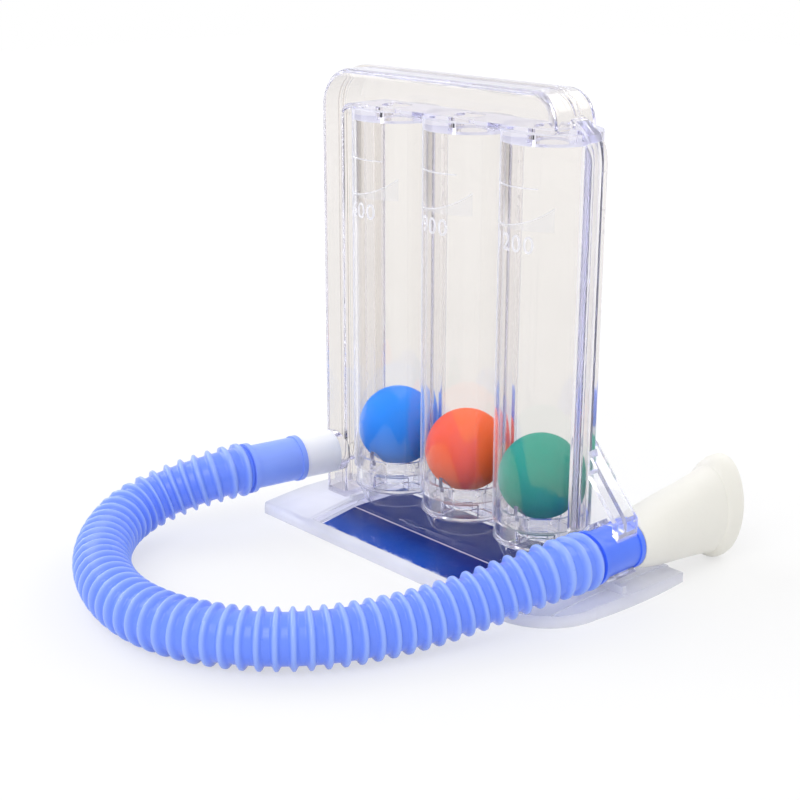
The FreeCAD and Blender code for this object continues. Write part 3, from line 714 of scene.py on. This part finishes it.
def make_floor():
    """Pale floor that shows an even white out to the horizon, and keeps the object's soft shadow."""
    material, tree = new_material("floor_white")
    pale = two_tone(tree, noise(tree, 6.0), (0.88, 0.88, 0.88), (0.9, 0.9, 0.9))
    shadowed = two_tone(tree, noise(tree, 6.0), (0.34, 0.34, 0.34), (0.35, 0.35, 0.35))
    coordinates = node(tree, "ShaderNodeTexCoord")
    distance = node(tree, "ShaderNodeVectorMath", operation="LENGTH")
    tree.links.new(coordinates.outputs["Object"], distance.inputs[0])
    strength = spread(tree, distance.outputs["Value"], GLOW_NEAR, GLOW_FAR, *GLOW_DISTANCES)
    glow = fill(tree, node(tree, "ShaderNodeEmission"), ((1, 1, 1, 1), strength)).outputs["Emission"]
    lit = plain_shader(tree, "ShaderNodeBsdfDiffuse", pale)
    dim = plain_shader(tree, "ShaderNodeBsdfDiffuse", shadowed)
    shown = fill(tree, node(tree, "ShaderNodeAddShader"), (dim, glow)).outputs["Shader"]
    set_surface(tree, mix_shaders(tree, seen_directly(tree), lit, shown))
    half = FLOOR_HALF
    corners = [(-half, -half, 0), (half, -half, 0), (half, half, 0), (-half, half, 0)]
    floor = mesh_object("floor", corners, [(0, 1, 2, 3)], material, False)


def make_dark_card():
    """Soft-edged dark studio card to the left. Only clear and glossy surfaces show it, as dark lines."""
    verts = [(*DARK_LEFT, 0.0), (*DARK_RIGHT, 0.0), (*DARK_RIGHT, DARK_TOP), (*DARK_LEFT, DARK_TOP)]
    material, tree = new_material("dark_card")
    dark = two_tone(tree, noise(tree, 5.0), (0.02, 0.02, 0.022), (0.03, 0.03, 0.032))
    place = surface_place(tree)
    share, *others = [fade(tree, place[axis], clear, full) for axis, clear, full in DARK_FADES]
    for other in others:
        share = combine(tree, "MULTIPLY", share, other)
    clear_part = plain_shader(tree, "ShaderNodeBsdfTransparent", (1, 1, 1))
    dark_part = plain_shader(tree, "ShaderNodeBsdfDiffuse", dark)
    set_surface(tree, mix_shaders(tree, share, clear_part, dark_part))
    card = mesh_object("studio_card", verts, [(0, 1, 2, 3)], material, False)
    card.visible_camera = False
    card.visible_diffuse = False
    card.visible_shadow = False


def make_clear_pieces():
    shell = clear_plastic("clear_shell", (0.932, 0.914, 0.888), 0.01, 0.012, absorb=10.0, edge=0.6)
    base = clear_plastic("clear_base", (0.98, 0.98, 0.98), 0.03, 0.58, (0.91, 0.92, 0.985), True, 11.0, 0.3)
    clip = clear_plastic("clear_clip", (0.96, 0.96, 0.95), 0.02, 0.10, absorb=10.0, edge=0.4)
    cup = clear_plastic("clear_cup", (0.97, 0.97, 0.97), 0.01, 0.004, absorb=10.0, edge=0.4)
    own_copy("body_shells", ["front_shell", "rear_shell"], shell, joined_plane=SEAM_Y)
    own_copy("base_tray", ["base"], base)
    clip_nudges = [(0, CLIP_WALL_X, NUDGE), (1, CLIP_HOOK_Y, NUDGE)]
    own_copy("clip_bracket", ["mouthpiece_clip"], clip, clip_nudges)
    cup_nudges = [(2, PLINTH_TOP, NUDGE), (2, TUBE_BOTTOM, -NUDGE)]
    for side in ("left", "centre", "right"):
        own_copy("cup_" + side, ["inlet_cup_" + side], cup, cup_nudges)


def dress_solid_pieces():
    balls = (
        ("ball_left", "ball_blue", (0.004, 0.27, 0.98), (0.003, 0.235, 0.90)),
        ("ball_centre", "ball_orange", (1.0, 0.13, 0.008), (0.98, 0.115, 0.006)),
        ("ball_right", "ball_green", (0.004, 0.36, 0.25), (0.003, 0.31, 0.21)),
    )
    for piece, name, light, dark in balls:
        dress(piece, solid_plastic(name, light, dark, 0.6, 500.0, 0.00003, specular=0.2))
    # The port cuff's paler blue is painted backlight, light shining through the hose from behind; the mouth
    # cuff has the plain blue
    cuffs = (
        ("hose_cuff_port", "cuff_blue_painted_backlight", (0.25, 0.39, 1.0), (0.23, 0.365, 0.97)),
        ("hose_cuff_mouth", "cuff_blue", (0.075, 0.195, 0.97), (0.065, 0.175, 0.92)),
    )
    for piece, name, light, dark in cuffs:
        dress(piece, solid_plastic(name, light, dark, 0.36, 700.0, 0.00001, coat=0.15))
    frosted = ("frosted_adapter", (0.93, 0.95, 0.98), (0.91, 0.93, 0.965), 0.4, 800.0, 0.00002)
    cream = ("frosted_white", (0.85, 0.835, 0.775), (0.825, 0.81, 0.75), 0.45, 900.0, 0.00002)
    dress("port_adapter", solid_plastic(*frosted, subsurface=0.5))
    dress("mouthpiece", solid_plastic(*cream, subsurface=0.3))
    dress("base_card", card_print())


def main():
    make_clear_pieces()
    dress_solid_pieces()
    # The pale strip across the card is a painted highlight of the plinth's front edge
    make_painted_plinth_highlight(solid_plastic("painted_plinth_highlight", (0.70, 0.66, 0.74), (0.66, 0.62, 0.70), 0.5, 600.0, 0.00001))
    mark = clear_plastic("tube_mark", (0.96, 0.96, 0.96), 0.2, 0.42, (0.93, 0.93, 0.96))
    mark_fill = clear_plastic("tube_mark_fill", (0.98, 0.98, 0.98), 0.1, 0.10, (0.93, 0.93, 0.96))
    make_tube_marks(mark, mark_fill)
    # Hose colours: the ridges' painted highlight, then the grooves' painted shade
    make_hose(hose_plastic("hose_blue", (0.30, 0.45, 1.0), (0.15, 0.285, 1.0), 0.34))
    make_camera()
    make_world()
    make_floor()
    make_dark_card()
    for lamp in LAMPS:
        make_lamp(*lamp)
    bpy.context.scene.view_settings.view_transform = "Standard"
    cycles = bpy.context.scene.cycles
    cycles.max_bounces = LIGHT_BOUNCES
    cycles.glossy_bounces = LIGHT_BOUNCES
    cycles.transmission_bounces = LIGHT_BOUNCES
    cycles.transparent_max_bounces = LIGHT_BOUNCES


main()
